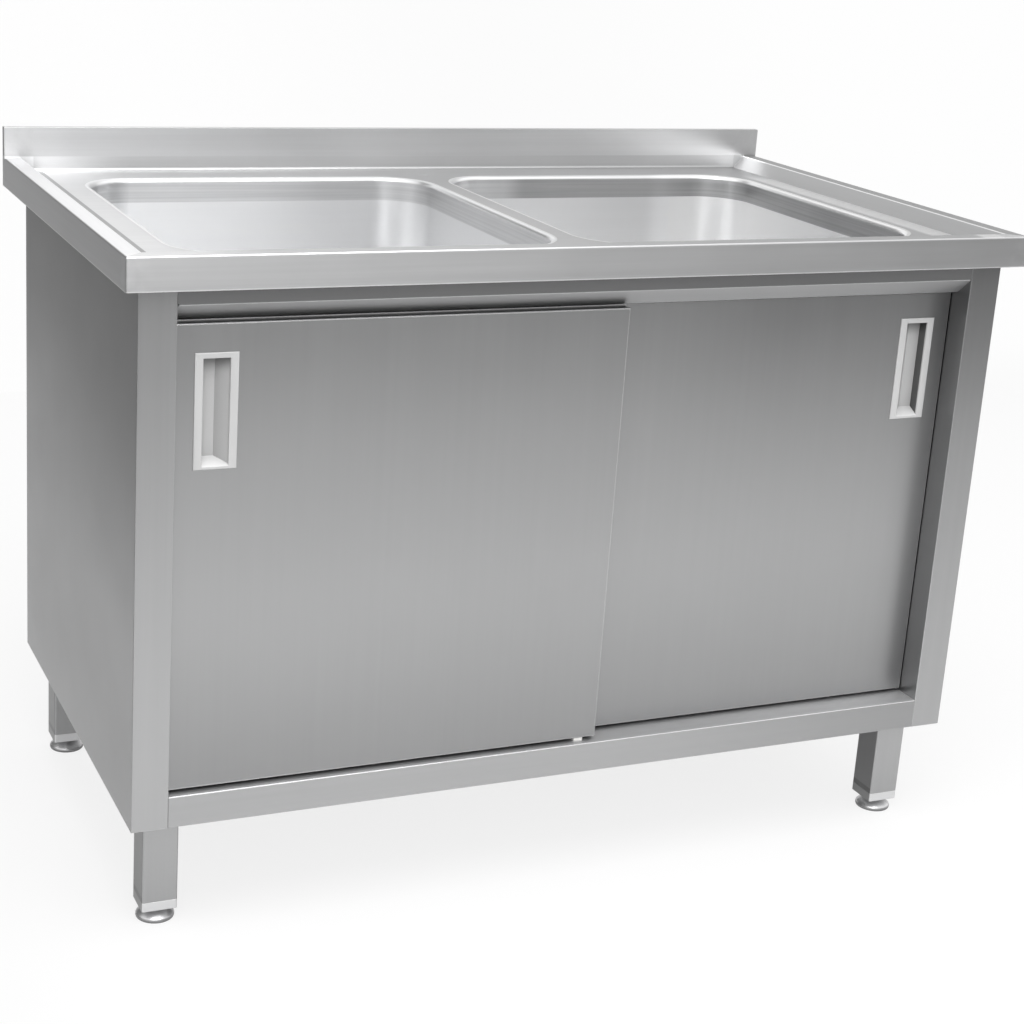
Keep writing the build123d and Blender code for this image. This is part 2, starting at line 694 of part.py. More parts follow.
for name, x, y in corners:
    outward = 1 if x > 0 else -1
    with BuildPart() as leg:
        with BuildSketch(Plane.XY.offset(leg_bottom)):
            with Locations((x, y)):
                RectangleRounded(leg_size, leg_size, 3)
                RectangleRounded(leg_size - 2 * leg_wall, leg_size - 2 * leg_wall, 1.5,
                                 mode=Mode.SUBTRACT)
        extrude(amount=leg_top - leg_bottom)
        plate_out = outward * (body_half - 4)
        plate_in = x - outward * (leg_size / 2 + 12)
        block(min(plate_out, plate_in), max(plate_out, plate_in), y - 38, y + 38,
              leg_top, body_bottom)
        drill([(outward * leg_bolt_x, y + step, leg_top) for step in leg_bolt_steps],
              bolt_radius + bolt_gap, 8)
    save(leg, f"{name}_leg")

    with BuildPart() as insert:
        with BuildSketch(Plane.XY.offset(foot_height)):
            with Locations((x, y)):
                RectangleRounded(leg_size, leg_size, 3)
        extrude(amount=insert_collar)
        with BuildSketch(Plane.XY.offset(leg_bottom)):
            with Locations((x, y)):
                plug = leg_size - 2 * leg_wall - 0.2
                RectangleRounded(plug, plug, 1.4)
        extrude(amount=insert_plug)
        drill([(x, y, leg_bottom)], stem_radius + thread_gap, 80)
    save(insert, f"{name}_leg_insert")

    with BuildPart() as foot:
        with BuildSketch(Plane.XZ):
            with BuildLine():
                Polyline((0, 0), (foot_radius - 1, 0), (foot_radius, 1), (foot_radius, 5),
                         (foot_radius - 2.5, 7.5), (12, 11.5), (9, 12), (9, foot_height),
                         (stem_radius, foot_height), (stem_radius, foot_height + stem_length),
                         (0, foot_height + stem_length), close=True)
            make_face()
        revolve(axis=Axis.Z)
    foot.part.position = (x, y, 0)
    save(foot, f"{name}_foot")

with BuildPart() as leg_bolts:
    for sign in (-1, 1):
        for row in leg_bolt_rows:
            with BuildSketch(Plane((sign * leg_bolt_x, row, leg_top))):
                RegularPolygon(bolt_flats / 2, 6, major_radius=False)
            extrude(amount=-5.3)
            with BuildSketch(Plane((sign * leg_bolt_x, row, leg_top))):
                Circle(bolt_radius)
            extrude(amount=16)
save(leg_bolts, "leg_bolts")

with BuildPart() as leg_nuts:
    for sign in (-1, 1):
        for row in leg_bolt_rows:
            with BuildSketch(Plane((sign * leg_bolt_x, row, body_bottom + body_sheet))):
                RegularPolygon(bolt_flats / 2, 6, major_radius=False)
                Circle(bolt_radius + thread_gap, mode=Mode.SUBTRACT)
            extrude(amount=6.8)
save(leg_nuts, "leg_nuts")
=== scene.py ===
import math
import bmesh
import bpy
from mathutils import Matrix, Vector


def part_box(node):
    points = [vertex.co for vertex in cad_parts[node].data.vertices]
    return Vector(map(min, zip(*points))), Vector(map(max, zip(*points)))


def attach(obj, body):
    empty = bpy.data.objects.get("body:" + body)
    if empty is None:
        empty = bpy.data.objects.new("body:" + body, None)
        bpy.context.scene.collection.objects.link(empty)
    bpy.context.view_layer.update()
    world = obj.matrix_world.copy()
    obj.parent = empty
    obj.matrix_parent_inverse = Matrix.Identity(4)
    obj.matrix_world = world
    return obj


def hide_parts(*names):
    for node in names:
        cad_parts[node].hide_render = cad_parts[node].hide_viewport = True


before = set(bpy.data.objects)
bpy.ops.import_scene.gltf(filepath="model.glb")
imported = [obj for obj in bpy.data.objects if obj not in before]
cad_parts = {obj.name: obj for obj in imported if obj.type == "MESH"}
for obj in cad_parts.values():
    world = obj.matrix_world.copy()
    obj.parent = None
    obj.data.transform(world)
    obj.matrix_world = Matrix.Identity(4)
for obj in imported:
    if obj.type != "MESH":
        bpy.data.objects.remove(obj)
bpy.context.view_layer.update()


# ---------------------------------------------------------------------------
# The viewpoint.
# The unit is looked at from its front left corner, from about standing height,
# with the lens a little off centre as the picture is cropped.
film_width, picture_width = 36.0, 1024
focal_length, off_centre = 1980.7, 0.0605
stand = (-1.1129, -2.4040, 1.2743)
turn, tip, lean = 0.415, 0.288, 0.060

picture = bpy.data.cameras.new("viewpoint")
picture.sensor_width = film_width
picture.lens = film_width * focal_length / picture_width
picture.shift_x = off_centre
picture.shift_y = -off_centre
viewpoint = bpy.data.objects.new("viewpoint", picture)
bpy.context.collection.objects.link(viewpoint)
viewpoint.matrix_world = (
    Matrix.Translation(stand)
    @ Matrix.Rotation(-turn, 4, "Z")
    @ Matrix.Rotation(math.pi / 2 - tip, 4, "X")
    @ Matrix.Rotation(lean, 4, "Z")
)
bpy.context.scene.camera = viewpoint


# ---------------------------------------------------------------------------
# The studio.
# A pale paper sweep runs under the unit and up behind it, lit by large soft
# lamps overhead and at the front left.  None of it is part of the unit.
class Value:
    """A socket that can be added, multiplied and so on like a number."""

    def __init__(self, finish, socket):
        self.finish = finish
        self.socket = socket

    def maths(self, operation, *others):
        vector = self.socket.type == "VECTOR"
        node = "ShaderNodeVectorMath" if vector else "ShaderNodeMath"
        values = dict(enumerate((self, *others)))
        return self.finish.add(node, {"operation": operation}, values)

    def __add__(self, other):
        return self.maths("ADD", other)

    def __radd__(self, other):
        return self.maths("ADD", other)

    def __sub__(self, other):
        return self.maths("SUBTRACT", other)

    def __rsub__(self, other):
        return self * -1 + other

    def __mul__(self, other):
        return self.maths("MULTIPLY", other)

    def __rmul__(self, other):
        return self.maths("MULTIPLY", other)

    def __abs__(self):
        return self.maths("ABSOLUTE")

    def clipped(self, low, high):
        """The value held between 0 and 1 as it goes from low to high."""
        return self.finish.add("ShaderNodeMapRange", {"interpolation_type": "SMOOTHSTEP"},
                               {"Value": self, "From Min": low, "From Max": high})

    def goes(self, start, end):
        """Start where the value is 0, end where it is 1."""
        return self * (end - start) + start


class Finish:
    """One material or world, filled by expressions."""

    def __init__(self, owner):
        self.owner = owner
        owner.use_nodes = True
        self.tree = owner.node_tree
        self.tree.nodes.clear()

    def add(self, kind, settings=None, values=None, out=0):
        """One node: its settings first, then the values and links of its sockets."""
        node = self.tree.nodes.new(kind)
        for name, setting in (settings or {}).items():
            setattr(node, name, setting)
        for name, value in (values or {}).items():
            if isinstance(value, Value):
                self.tree.links.new(value.socket, node.inputs[name])
            else:
                node.inputs[name].default_value = value
        return Value(self, node.outputs[out])

    def where(self):
        """The place on the unit, in metres."""
        return self.add("ShaderNodeTexCoord", out="Object")

    def axes(self, place):
        """A place or a direction taken apart, along X, Y and Z."""
        parts = self.add("ShaderNodeSeparateXYZ", values={0: place})
        return [Value(self, output) for output in parts.socket.node.outputs]

    def facing(self):
        """The way the surface faces."""
        return self.add("ShaderNodeNewGeometry", out="Normal")

    def open_air(self, reach):
        """1 on an open surface, and less the deeper it lies in a corner."""
        return self.add("ShaderNodeAmbientOcclusion", {"samples": 4}, {"Distance": reach},
                        out="AO")

    def sights(self):
        """The camera's own rays, and those that reach a place by a mirror or glass."""
        seen = self.add("ShaderNodeLightPath", out="Is Camera Ray")
        rays = seen.socket.node.outputs
        return seen, (Value(self, rays["Is Glossy Ray"])
                      + Value(self, rays["Is Transmission Ray"]))

    def noise(self, place, scale, detail=2.0, rough=0.5):
        """Soft cloudy values around 0.5."""
        return self.add("ShaderNodeTexNoise", values={
            "Vector": place, "Scale": scale, "Detail": detail, "Roughness": rough})

    def colours(self, mask, first, second):
        """One colour where the mask is 0, the other where it is 1."""
        mixed = self.add("ShaderNodeMix", {"data_type": "RGBA"}, {0: mask}, out=2)
        node = mixed.socket.node
        for place, colour in ((6, first), (7, second)):
            if isinstance(colour, Value):
                self.tree.links.new(colour.socket, node.inputs[place])
            else:
                node.inputs[place].default_value = (*colour, 1.0)
        return mixed

    def blended(self, mask, first, second):
        """One place where the mask is 0, the other where it is 1."""
        return self.add("ShaderNodeMix", {"data_type": "VECTOR"},
                        {0: mask, 4: first, 5: second}, out=1)

    def tinted(self, light, tint):
        """One brightness as a colour, with a slight tint."""
        return self.add("ShaderNodeCombineColor", values={
            place: light * share for place, share in enumerate(tint)})

    def done(self, shader, kind="ShaderNodeOutputMaterial"):
        end = self.tree.nodes.new(kind)
        self.tree.links.new(shader.socket, end.inputs["Surface"])
        return self.owner


def grey(level):
    return (level, level, level)


# The paper's outline from the front to the back, as places along Y and Z.
sweep_outline = ((-9.0, 0.0), (2.2, 0.0), (3.2, 0.35), (3.7, 1.4), (3.8, 7.0))
sweep_end = 12.0

sweep_form = bmesh.new()
run = [sweep_form.verts.new((-sweep_end, y, z)) for y, z in sweep_outline]
lines = [sweep_form.edges.new(pair) for pair in zip(run, run[1:])]
grown = bmesh.ops.extrude_edge_only(sweep_form, edges=lines)
moved = [v for v in grown["geom"] if isinstance(v, bmesh.types.BMVert)]
bmesh.ops.translate(sweep_form, verts=moved, vec=(2 * sweep_end, 0, 0))
bmesh.ops.recalc_face_normals(sweep_form, faces=sweep_form.faces)
sweep_mesh = bpy.data.meshes.new("paper_sweep")
sweep_form.to_mesh(sweep_mesh)
sweep_form.free()
sweep = bpy.data.objects.new("paper_sweep", sweep_mesh)
bpy.context.collection.objects.link(sweep)

# The paper is white around the unit and dark far to the front and the left, which
# gives the steel something dark to mirror.  The camera sees it as a white ground.
paper = Finish(bpy.data.materials.new("studio_paper"))
seen, mirrored = paper.sights()
across, along, height = paper.axes(paper.where())
behind = along.clipped(1.2, 2.4)
right, left = across.clipped(0.2, 2.8), 1 - across.clipped(-1.6, -0.5)
far = (along * -1).clipped(1.6, 3.4).maths("MAXIMUM", (across * -1).clipped(0.5, 1.4))
far = far.maths("MAXIMUM", behind * right * 0.45)
middle = behind * (1 - right) * (1 - left)
shown = seen * far.goes(0.80, 1.20) + mirrored * (far.goes(0.30, 0.05) + middle * 0.50)
matt = paper.add("ShaderNodeBsdfDiffuse", values={
    "Color": paper.colours(far, grey(0.86), grey(0.12))})
bright = paper.add("ShaderNodeEmission", values={"Color": (1, 1, 1, 1), "Strength": 1.0})
both = paper.add("ShaderNodeMixShader", values={0: shown, 1: matt, 2: bright})
sweep_mesh.materials.append(paper.done(both))

# The room's walls are bright and dark by turns, and its ceiling is even.
dark_wall, bright_wall, upper_wall, ceiling = grey(0.12), grey(1.5), grey(1.1), grey(0.85)
room = Finish(bpy.data.worlds.new("studio_room"))
bpy.context.scene.world = room.owner
across, along, height = room.axes(room.add("ShaderNodeTexCoord", out="Generated"))
walls = room.colours(((across - 0.2) * along).clipped(-0.45, 0.2), dark_wall, bright_wall)
glow = room.colours(height.clipped(0.05, 0.6), walls, upper_wall)
glow = room.colours(height.clipped(0.70, 0.92), glow, ceiling)
seen, mirrored = room.sights()
shown = seen + mirrored * 0.15
whole = room.colours(shown, glow, grey(1.0))
sky = room.add("ShaderNodeBackground", values={"Color": whole, "Strength": 1.0})
room.done(sky, kind="ShaderNodeOutputWorld")


def soft_lamp(name, place, target, size, power):
    """A square soft lamp turned towards a point."""
    lamp = bpy.data.lights.new(name, "AREA")
    lamp.size = size
    lamp.energy = power
    holder = bpy.data.objects.new(name, lamp)
    bpy.context.collection.objects.link(holder)
    holder.location = place
    aim = Vector(target) - Vector(place)
    holder.rotation_euler = aim.to_track_quat("-Z", "Y").to_euler()


soft_lamp("overhead_lamp", (-0.3, -1.2, 3.0), (0, 0, 0.5), 2.0, 55)
soft_lamp("front_lamp", (-1.6, -3.6, 2.6), (0, 0, 0.4), 1.6, 16)

bpy.context.scene.view_settings.view_transform = "Standard"


# ---------------------------------------------------------------------------
# The worktop.
# One sheet of stainless steel with a raised edge on three sides, a folded
# fascia and an upstand, ground along its length so the grain runs left to right.
# Sizes are in metres.  Hair and mitre are how soft the lines between two
# finishes are, and marks repeat so many times along and across the grain.
half_width, half_depth, rim_top, deck_top = 0.600, 0.350, 0.850, 0.832
rim_crest, slope_foot = 0.0222, 0.0400
hair, mitre = 0.0002, 0.0003
steel_tint = (1.0, 1.003, 1.01)
fine_marks, wide_marks = (8, 400), (1.5, 110)


def stretched(grain, marks):
    """How often marks repeat in a metre along each axis, least along the grain."""
    lengthways, sideways = marks
    return tuple(lengthways if axis == grain else sideways for axis in "XYZ")


def brushed(name, tone, rough, grain, blotch=0.05, streak=0.05, relief=0.04, bend=0.0012,
            edge_glint=0.25, corner_shade=0.0, reach=0.15, extra=None, crossed=None):
    """Ground stainless steel; grain is the way the brush marks run.

    Bend is the radius of its folded edges, which are lit up by a painted highlight
    of the share given.  Corners and the places under other parts are darkened by
    painted shade of the share given, and reach is how far out that shade goes.
    Extra gives a further factor of brightness, with the piece's own marks and its
    painted light and shade, and crossed tells where the marks run along Y.
    """
    finish = Finish(bpy.data.materials.new(name))
    place = finish.where()
    fine, wide = place * stretched(grain, fine_marks), place * stretched(grain, wide_marks)
    if crossed is not None:
        turned_marks = crossed(finish, place)
        fine = finish.blended(turned_marks, fine, place * stretched("Y", fine_marks))
        wide = finish.blended(turned_marks, wide, place * stretched("Y", wide_marks))
    marks = finish.noise(fine, 1.0, 1.0, 0.5)
    bands = finish.noise(wide, 1.0, 2.0, 0.5)
    cloud = finish.noise(place, 2.6, 3.0, 0.55)
    wipe_marks_and_sheen = finish.noise(place * (1.0, 1.3, 1.7), 7.0, 4.0, 0.6)
    rounded = finish.add("ShaderNodeBevel", {"samples": 4}, {"Radius": bend})
    flat = finish.facing()
    # The folded edges are lit up here by a painted highlight.
    edge_glint_mask = 1 - finish.add("ShaderNodeVectorMath", {"operation": "DOT_PRODUCT"},
                              {0: rounded, 1: flat}, out="Value")
    edge_glint_mask = edge_glint_mask.clipped(0.004, 0.10)
    shade = ((marks - 0.5) * streak * 0.6 + (bands - 0.5) * streak * 1.6
             + (cloud - 0.5) * blotch + 1.0)
    shade = shade * edge_glint_mask.goes(1, 1 + edge_glint)
    # Corners and the places under other parts are darkened here as painted shade.
    if corner_shade:
        shade = shade * finish.open_air(reach).goes(1 - corner_shade, 1)
    if extra is not None:
        shade = shade * extra(finish, place)
    colour = finish.tinted(shade * tone, steel_tint)
    worn = (bands - 0.5) * 0.04 + (wipe_marks_and_sheen - 0.5) * 0.06 + rough
    bump = finish.add("ShaderNodeBump", values={
        "Strength": relief, "Distance": 0.0001, "Height": marks + bands, "Normal": rounded})
    steel = finish.add("ShaderNodeBsdfPrincipled", values={
        "Base Color": colour, "Metallic": 1.0, "Roughness": worn, "Normal": bump})
    return finish.done(steel)


def dress(material, *names):
    """Gives CAD pieces their finish."""
    for name in names:
        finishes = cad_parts[name].data.materials
        if finishes:
            for place in range(len(finishes)):
                finishes[place] = material
        else:
            finishes.append(material)


def round_the_rim(finish, place):
    """The rims at both ends are ground from front to back, up to the mitres."""
    across, along, height = finish.axes(place)
    edge = half_width - abs(across)
    return ((1 - edge.clipped(slope_foot - hair, slope_foot + hair))
            * (along + half_depth - edge).clipped(-mitre, mitre))


def swirls_and_painted_light(finish, place):
    """The welded corners are ground in swirls, and the upstand is darker, most in
    its middle and towards the left.  The rest is painted light: the rim is lighter
    at the left end and darker at the right, with a painted highlight on the right
    crest line and painted shade at the foot of the left slope; the deck is
    darkened as painted shade except at both ends, with a narrow painted highlight along
    the right end; and the front fascia has painted shade towards the right and a
    painted highlight along the lower edge."""
    across, along, height = finish.axes(place)
    upstand = height.clipped(rim_top + 0.0005, rim_top + 0.0030)
    corner = (abs(across).clipped(half_width - slope_foot, half_width - 0.010)
              * (along * -1).clipped(half_depth - slope_foot, half_depth - 0.010))
    swirl = finish.noise(place, 60.0, 2.0, 0.5)
    edge = half_width - abs(across)
    right = across.clipped(-0.01, 0.01)
    rim = round_the_rim(finish, place) * edge.clipped(0.0005, 0.0015) * (1 - upstand)
    crest = rim * right * (1 - abs(edge - rim_crest).clipped(0.0004, 0.0012))
    foot = (edge.clipped(rim_crest, rim_crest + 0.0008)
            * (1 - edge.clipped(0.0500, 0.0515)) * (1 - right)
            * (along * -1).clipped(-0.336, -0.330)
            * (along + half_depth - edge).clipped(-mitre, mitre))
    # Painted light on the rim: lighter at the left end and darker at the right, a painted
    # highlight on the right crest line and painted shade at the foot of the left slope.
    tone = rim * right.goes(0.18, -0.40) + crest * 0.65 - foot * 0.52 + 1
    # Painted shade on the deck, left off at both ends, with a narrow painted highlight along
    # the right end.
    wipe_marks_and_sheen = ((across * -1).clipped(0.42, 0.55)
             + across.clipped(0.520, 0.535) * (1 - along.clipped(0.20, 0.27)) * 1.9)
    deck = (edge.clipped(slope_foot - hair, slope_foot + hair)
            * height.clipped(deck_top - 0.0025, deck_top - 0.0020) * (1 - upstand)
            * (along + (half_depth - 0.0012)).clipped(0.0, 0.0008))
    tone = tone * (1 - deck * (1 - wipe_marks_and_sheen) * 0.28)
    # Painted shade on the front fascia towards the right, and a painted highlight on the lower
    # edge.
    fascia = ((along * -1).clipped(half_depth - 0.0010, half_depth - 0.0006)
              * across.clipped(-half_width, half_width))
    lower = 1 - height.clipped(0.8106, 0.8116)
    # The upstand is darker, most in its middle and towards the left.
    darkened = upstand * ((1 - abs(across).clipped(0.10, 0.50)) * 0.15
                        + (across * -1).clipped(0.10, 0.50) * 0.10 + 0.10)
    return ((1 - darkened) * (corner * (swirl - 0.4) * 0.25 + 1) * tone
            * (1 - fascia * 0.24) * lower.goes(1, 1.45))


dress(brushed("worktop_steel", 0.82, 0.33, "X", streak=0.07, bend=0.0008, edge_glint=0.12,
              corner_shade=0.4, reach=0.02, extra=swirls_and_painted_light, crossed=round_the_rim), "worktop")


# ---------------------------------------------------------------------------
# The bowls.
# Each is pressed from thinner sheet and welded flush into it along its rolled lip.
# Its steel is given a paler tone than the worktop's, as painted light that makes
# up for the light the deep bowls don't get.
def ground_band_and_painted_light(finish, place):
    """Below the lip runs a band that is ground along the weld; in the right bowl it
    is darkened further as painted shade.  The floors and the inner walls either side
    of the middle are darkened as painted shade, and the right bowl's right end has
    a painted highlight."""
    across, along, height = finish.axes(place)
    band_foot = deck_top - 0.033
    band = (height.clipped(band_foot - 0.0005, band_foot + 0.0007)
            * (1 - height.clipped(deck_top - 0.0065, deck_top - 0.0020)))
    lines = finish.noise(place * (3, 3, 300), 1.0, 1.0, 0.5)
    fade = finish.noise(place, 5.0, 2.0, 0.5)
    # The band is darkened further in the right bowl as painted shade.
    darkened = across.clipped(0.12, 0.16) * 0.22 + across.clipped(0.38, 0.44) * 0.16
    # Painted shade on the floors and on the walls either side of the middle, and a painted
    # highlight at the right bowl's right end.
    floor_shade = (1 - height.clipped(0.59, 0.64)) * 0.04
    wall_light = (across.clipped(-0.20, -0.05) * (1 - across.clipped(0.0, 0.02)) * 0.11
                  + across.clipped(0.06, 0.12) * (1 - across.clipped(0.36, 0.40)) * 0.15
                  - across.clipped(0.40, 0.46) * 0.18)
    return ((1 - band * ((lines - 0.5) * 0.24 + fade * 0.20 + 0.14 + darkened))
            * (1 - floor_shade) * (1 - wall_light))


# The bowls are given a paler tone than the worktop as painted light.
dress(brushed("bowl_steel", 0.99, 0.34, "X", blotch=0.04, streak=0.02, relief=0.03,
              extra=ground_band_and_painted_light), "left_bowl", "right_bowl")


# ---------------------------------------------------------------------------
# The waste fittings.
# A turned flange with a slotted strainer in it, drawn down on a rubber ring by a
# moulded nut under the bowl.
def moulded(name, tone, rough, tint=(1.0, 1.0, 1.0), speck=0.03, relief=0.05, recess_shade=0.0,
            extra=None):
    """Plain moulded plastic or rubber with a fine skin, darkened in its corners as painted
    shade.
    """
    finish = Finish(bpy.data.materials.new(name))
    place = finish.where()
    skin = finish.noise(place, 900.0, 2.0, 0.6)
    cloud = finish.noise(place, 30.0, 3.0, 0.5)
    shade = (skin - 0.5) * speck + (cloud - 0.5) * speck * 1.5 + 1.0
    # Corners are darkened here as painted shade.
    if recess_shade:
        shade = shade * finish.open_air(0.03).goes(1 - recess_shade, 1)
    if extra is not None:
        shade = shade * extra(finish, place)
    colour = finish.tinted(shade * tone, tint)
    worn = (cloud - 0.5) * 0.12 + rough
    bump = finish.add("ShaderNodeBump", values={
        "Strength": relief, "Distance": 0.0003, "Height": skin})
    plastic = finish.add("ShaderNodeBsdfPrincipled", values={
        "Base Color": colour, "Roughness": worn, "Normal": bump})
    return finish.done(plastic)


def turned(name, tone, rough, extra=None):
    """Machined or plated steel with faint rings and handling marks."""
    finish = Finish(bpy.data.materials.new(name))
    place = finish.where()
    rings = finish.noise(place * (40, 40, 1500), 1.0, 2.0, 0.5)
    cloud = finish.noise(place, 55.0, 4.0, 0.6)
    light = ((rings - 0.5) * 0.08 + (cloud - 0.5) * 0.10 + 1.0) * tone
    if extra is not None:
        light = light * extra(finish, place)
    colour = finish.add("ShaderNodeCombineColor", values={0: light, 1: light, 2: light * 1.01})
    worn = (cloud - 0.5) * 0.16 + rough
    bump = finish.add("ShaderNodeBump", values={
        "Strength": 0.08, "Distance": 0.0003, "Height": rings})
    metal = finish.add("ShaderNodeBsdfPrincipled", values={
        "Base Color": colour, "Metallic": 1.0, "Roughness": worn, "Normal": bump})
    return finish.done(metal)


dress(turned("waste_steel", 0.66, 0.18), "left_waste", "right_waste",
      "left_waste_strainer", "right_waste_strainer")
dress(moulded("seal_rubber", 0.03, 0.65), "left_waste_gasket", "right_waste_gasket")
dress(moulded("nut_plastic", 0.06, 0.45), "left_waste_nut", "right_waste_nut")


# ---------------------------------------------------------------------------
# The cabinet sides and back.
# Each side is one folded sheet that turns into the front post; the back is a
# plain sheet screwed to the side flanges.  The grain stands upright.
def painted_post_and_side_light(finish, place):
    """The right post is darkened as painted shade, most towards its top, under the
    worktop, and the left side has a painted highlight at its middle and painted
    shade above and below."""
    across, along, height = finish.axes(place)
    post = across.clipped(0.45, 0.55) * (height.clipped(0.55, 0.80) * 0.24 + 0.07)
    side = (across * -1).clipped(0.5785, 0.5798)
    return (1 - post) * (side * (0.12 - abs(height - 0.47).clipped(0.05, 0.24) * 0.27) + 1)


dress(brushed("side_steel", 0.43, 0.34, "Z", blotch=0.06, edge_glint=0.9, corner_shade=0.5, reach=0.12,
              extra=painted_post_and_side_light), "left_side_panel", "right_side_panel")
dress(brushed("back_steel", 0.50, 0.38, "Z", blotch=0.08), "back_panel")


# ---------------------------------------------------------------------------
# The bottom shelf, header and rails.
# Folded strips ground along their length.  The sill in front of the doors is
# the shelf's own folded edge.
shelf_top, slope_top = 0.1900, 0.7900


def painted_sill_light(finish, place):
    """The top of the sill and the shelf behind it are lightened as painted light, most
    towards the right, and the sill's front is darkened as painted shade towards the right."""
    across, along, height = finish.axes(place)
    top = height.clipped(shelf_top - 0.0010, shelf_top - 0.0001)
    right = across.clipped(0, half_width)
    return (top * right.goes(0.85, 1.30) + 1) * (1 - right * (1 - top) * 0.20)


dress(brushed("sill_steel", 0.43, 0.46, "X", bend=0.0024, extra=painted_sill_light),
      "bottom_shelf", "shelf_rail")


def shade_under_worktop(finish, place):
    """The strip right under the worktop is darker than the slope below it, as painted shade.
    """
    return 1 - finish.axes(place)[2].clipped(slope_top - 0.0015, slope_top) * 0.55


dress(brushed("header_steel", 0.51, 0.58, "X", edge_glint=0.8, corner_shade=0.25, reach=0.05,
              extra=shade_under_worktop), "header")
dress(brushed("divider_steel", 0.5, 0.4, "Y"), "divider_rail")


# ---------------------------------------------------------------------------
# The hanging tracks.
# Plain rolled strip, screwed under the header, with a ledge and a lip that the
# rollers run on.
dress(brushed("track_steel", 0.48, 0.36, "X", blotch=0.10), "front_track", "rear_track")


# ---------------------------------------------------------------------------
# The sliding doors.
# Each is a folded outer skin and a lining with upright grain, hung by plates and
# nylon rollers and kept upright by a nylon guide.  The left door runs in front.
def painted_door_shade(finish, place):
    """The doors are darkened towards the floor as painted shade, and at the top, under
    the header, as painted shadow, the right one most."""
    across, along, height = finish.axes(place)
    top = across.clipped(0.05, 0.30) * height.clipped(0.48, 0.76) * 0.14
    top = top + height.clipped(0.60, 0.78) * 0.10
    return height.clipped(0.16, 0.46).goes(0.72, 1) * (1 - top)


nylon_tint = (1.0, 0.99, 0.95)
door_steel = brushed("door_steel", 0.42, 0.35, "Z", streak=0.03, bend=0.002, edge_glint=1.6,
                     corner_shade=0.12, reach=0.20, extra=painted_door_shade)
for side in ("left", "right"):
    dress(door_steel, f"{side}_door_skin", f"{side}_door_lining")
    dress(turned(f"{side}_hanger_plate", 0.5, 0.35),
          f"{side}_outer_hanger", f"{side}_inner_hanger")
    dress(moulded(f"{side}_roller_nylon", 0.78, 0.35, tint=nylon_tint),
          f"{side}_outer_roller", f"{side}_inner_roller")
dress(moulded("guide_nylon", 0.80, 0.35, tint=(1.0, 0.99, 0.96)), "door_guide")


# ---------------------------------------------------------------------------
# The handle cups.
# Each is moulded in light grey plastic and snapped into the door's skin: a flange
# with rounded edges, and a pocket with a sloping side and floor for the fingers.
# Sizes are in metres, from a cup's flange in to its mouth and down its pocket.
cup_flange, cup_frame, cup_body_inset = 0.0015, 0.0026, 0.0036
flange_round, mouth_round = 0.0011, 0.0007
mouth_share, mouth_drop, pocket_depth = 0.72, 0.003, 0.0165
slope_rise, floor_lift, slope_lift = 0.0130, 0.0085, 0.0020
slope_line, mouth_reach, door_step = 0.002, 0.018, 0.026
sharp_edge, close = 0.6, 0.00001


def finished_piece(name, form, material, body, slot, *nodes):
    """Turns a form into a piece that rides on a body in place of its solids."""
    mesh = bpy.data.meshes.new(name)
    form.to_mesh(mesh)
    form.free()
    mesh.materials.append(material)
    mesh.shade_smooth()
    mesh.set_sharp_from_angle(angle=sharp_edge)
    piece = bpy.data.objects.new(name, mesh)
    bpy.context.collection.objects.link(piece)
    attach(piece, body)
    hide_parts(*nodes)


def shift(form, corners, vec):
    bmesh.ops.translate(form, verts=corners, vec=vec)


def drawn(form, faces, vec):
    """Draws faces out of a form, or into it, and gives their moved corners."""
    grown = bmesh.ops.extrude_face_region(form, geom=faces)["geom"]
    bmesh.ops.delete(form, geom=faces, context="FACES")
    moved = [v for v in grown if isinstance(v, bmesh.types.BMVert)]
    shift(form, moved, vec)
    return moved


def rounded(form, edges, radius, segments):
    bmesh.ops.bevel(form, geom=edges, offset=radius, segments=segments, affect="EDGES",
                    profile=0.5, material=-1)


def depth(face):
    """How far back the middle of a face lies."""
    return face.calc_center_median().y


def edges_at(form, y):
    """The edges that lie at one depth of the unit."""
    return [e for e in form.edges if all(abs(v.co.y - y) < close for v in e.verts)]


def cut(form, faces, point, way):
    """Cuts across some faces of a form, with a flat cut square to a direction."""
    corners = {v for f in faces for v in f.verts}
    edges = {e for f in faces for e in f.edges}
    bmesh.ops.bisect_plane(form, geom=[*faces, *edges, *corners], dist=1e-8,
                           plane_co=point, plane_no=way)


